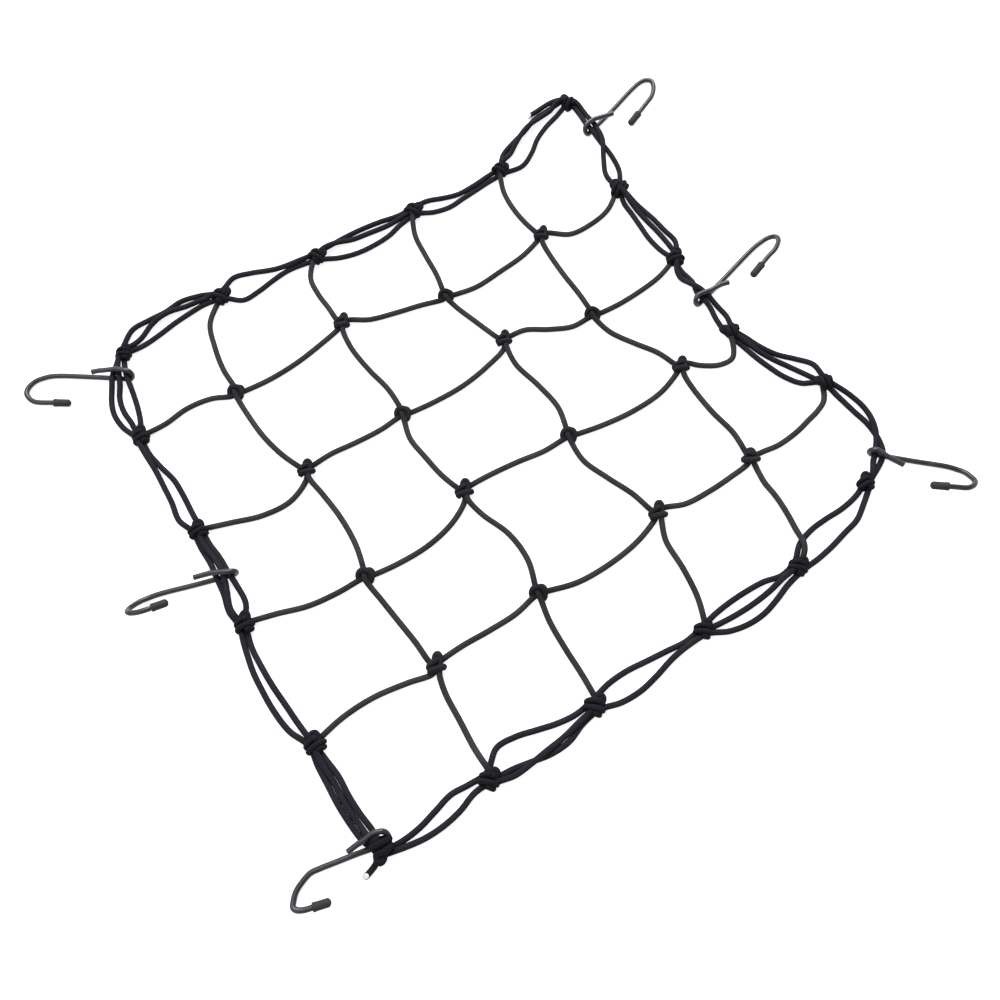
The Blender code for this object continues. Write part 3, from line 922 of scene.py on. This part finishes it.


def paint_shade_near_knots(piece, middles):
    """Writes how near each vertex is to a knot, from 0 to 1, for the painted shade beside the knots.
    """
    shares = [(KNOT_SHADE_TO - middles.find((vertex.co.x, vertex.co.y, 0))[2]) / (KNOT_SHADE_TO - KNOT_SHADE_FROM)
              for vertex in piece.data.vertices]
    piece.data.attributes.new(KNOT_SHADE_ATTRIBUTE, "FLOAT", "POINT").data.foreach_set(
        "value", [max(0.0, min(1.0, share)) for share in shares])


def make_cords(border_sleeve, net_sleeve):
    """The border's strands, the short third strands and the net's eight cords."""
    middles = KDTree(len(KNOTS))
    for index, knot in enumerate(KNOTS):
        middles.insert(knot_place(knot), index)
    middles.balance()
    pile = Pile()
    for hook in HOOKS:
        pile.add([point for point in hook_line(hook) if point.z < WIRE], WIRE / 2)

    def put(name, points, material, nodes=(), far_end="object"):
        """Makes one cord, laid over what is already there."""
        line = lay(smooth(points, CORD_STEP), pile, CORD_STEP)
        pile.add(line, CORD / 2)
        piece = tube(name, line, SLEEVE, CORD_SIDES, material)
        if far_end == "bare":
            slant(piece, line)
        paint_shade_near_knots(piece, middles)
        declare(piece, nodes)
        return line

    ends = {}
    knots = border_knots()
    for lane in ("inner", "outer"):
        for number, side in enumerate(("far", "right", "near", "left")):
            first = number * MESHES
            runs = [getattr(run, lane) for run in BORDER[first:first + MESHES]]
            points = []
            for place, run in enumerate(runs):
                begins = in_knot(run[0]) if place == 0 else None
                after = runs[place + 1][0] if place + 1 < MESHES else None
                points += strand(knots[first + place], knots[first + place + 1], run, begins,
                                 in_knot(run[-1], after))
            if lane == "inner":
                put(f"border_{side}_inner", points, border_sleeve)
                continue
            nodes = [f"border_{side}_{index + 1}" for index in range(MESHES)]
            if side in CUT_ENDS:
                middle = knot_place(knots[first])
                points = points[::-1] + [middle + Vector(point) * MM for point in CUT_ENDS[side]]
            ends[side] = put(f"border_{side}_outer", points, border_sleeve, nodes,
                             "bare" if side in CUT_ENDS else "object")
    for index, run in enumerate(BORDER):
        if run.third:
            points = strand(knots[index], knots[index + 1], run.third, in_knot(run.third[0]),
                            in_knot(run.third[-1]))
            put(f"border_{run.side}_third_{index % MESHES + 1}", points, border_sleeve)
    for row in range(1, MESHES):
        points = net_cord([(row, column) for column in range(MESHES + 1)], ACROSS_BOWS[row],
                          "left", "right")
        put(f"across_cord_{row}", points, net_sleeve, [f"across_left_{row}", f"across_right_{row}"])
    for column in range(1, MESHES):
        points = net_cord([(row, column) for row in range(MESHES + 1)], DOWN_BOWS[column],
                          "far", "near", aside=DOWN_ASIDE)
        nodes = [f"down_leg_{column}_{row + 1}" for row in range(MESHES)]
        put(f"down_cord_{column}", points, net_sleeve, nodes)
    return ends


def make_knots(edge_shaded_sleeve, net_sleeve):
    """Every knot, copied from one of each kind."""
    masters = {}
    for kind, strands in KNOT_KINDS.items():
        parts = []
        for index, points in enumerate(strands):
            line = [Vector((*point.xy, max(point.z, REST)))
                    for point in smooth([Vector(point) * MM for point in points], KNOT_STEP)]
            parts.append(tube(f"{kind}_{index}", line, SLEEVE, CORD_SIDES, net_sleeve))
        masters[kind] = join(f"{kind}_knot", parts)
    for place, knot in KNOTS.items():
        piece = copy_of(masters[knot.kind], f"knot_{place[0]}_{place[1]}", knot_turn(place))
        # painted shade: each knot gets a darker copy of its cords' sleeve finish
        piece.data.materials[0] = edge_shaded_sleeve if is_edge(place) else net_sleeve
        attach(piece, "root")
    for master in masters.values():
        bpy.data.objects.remove(master)


RUBBER_RADIUS = 0.43 * SLEEVE
RUBBER_EDGE = 0.18 * MM    # of the bevel round it
RUBBER_DEPTH = 1.6 * MM
RUBBER_PROUD = 0.2 * MM    # how far it stands out of the cut sleeve


def make_cut_face(name, line, material):
    """The pale rubber that shows at a cut end of the border's cord."""
    end, before = line[-1], line[-2]
    way = (end - before).normalized()
    bpy.ops.object.select_all(action="DESELECT")
    bpy.ops.mesh.primitive_cylinder_add(vertices=24, radius=RUBBER_RADIUS, depth=RUBBER_DEPTH,
                                        location=(0, 0, 0))
    piece = bpy.context.object
    bpy.ops.object.mode_set(mode="EDIT")
    bpy.ops.mesh.select_mode(type="EDGE")
    bpy.ops.mesh.select_all(action="SELECT")
    bpy.ops.mesh.bevel(offset=RUBBER_EDGE, segments=2, affect="EDGES")
    bpy.ops.object.mode_set(mode="OBJECT")
    middle = end - way * (RUBBER_DEPTH / 2 - RUBBER_PROUD)
    turn = way.to_track_quat("Z", "Y").to_matrix().to_4x4()
    piece.matrix_world = Matrix.Translation(middle) @ turn
    piece.data.materials.append(material)
    settle(piece, name)
    slant(piece, line)
    bpy.ops.object.shade_smooth_by_angle(angle=math.radians(40))
    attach(piece, "root")


def make_hooks(wire, cut_steel, vinyl):
    """The six hooks and their caps."""
    for hook in HOOKS:
        piece, line = make_hook(hook, wire, cut_steel)
        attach(piece, "root")
        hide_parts(hook.name)
        cap = make_cap(hook.name + "_vinyl_cap", hook.cap * MM, line[-1], line[-2], vinyl)
        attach(cap, "root")
        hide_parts(hook.name + "_cap")


make_camera()
make_stage()
cut_lines = make_cords(
    make_cord_finish("border_sleeve", (0.004, 0.004, 0.006, 1), (0.018, 0.018, 0.025, 1)),
    make_cord_finish("net_sleeve", (0.010, 0.0095, 0.010, 1), (0.038, 0.037, 0.039, 1)))
# The knots get darker copies of their cords' sleeve finishes: mostly painted shade inside the knots,
# with a little of the darker look of braid pulled tight.
make_knots(
    make_cord_finish("edge_knot_shaded_sleeve", (0.002, 0.002, 0.003, 1), (0.011, 0.011, 0.016, 1)),
    make_cord_finish("net_knot_shaded_sleeve", (0.004, 0.004, 0.005, 1), (0.019, 0.019, 0.024, 1)))
rubber = make_rubber_finish()
for cut_side in CUT_ENDS:
    make_cut_face(f"cut_face_{cut_side}", cut_lines[cut_side], rubber)
make_hooks(make_wire_finish(), make_cut_steel_finish(), make_cap_finish())
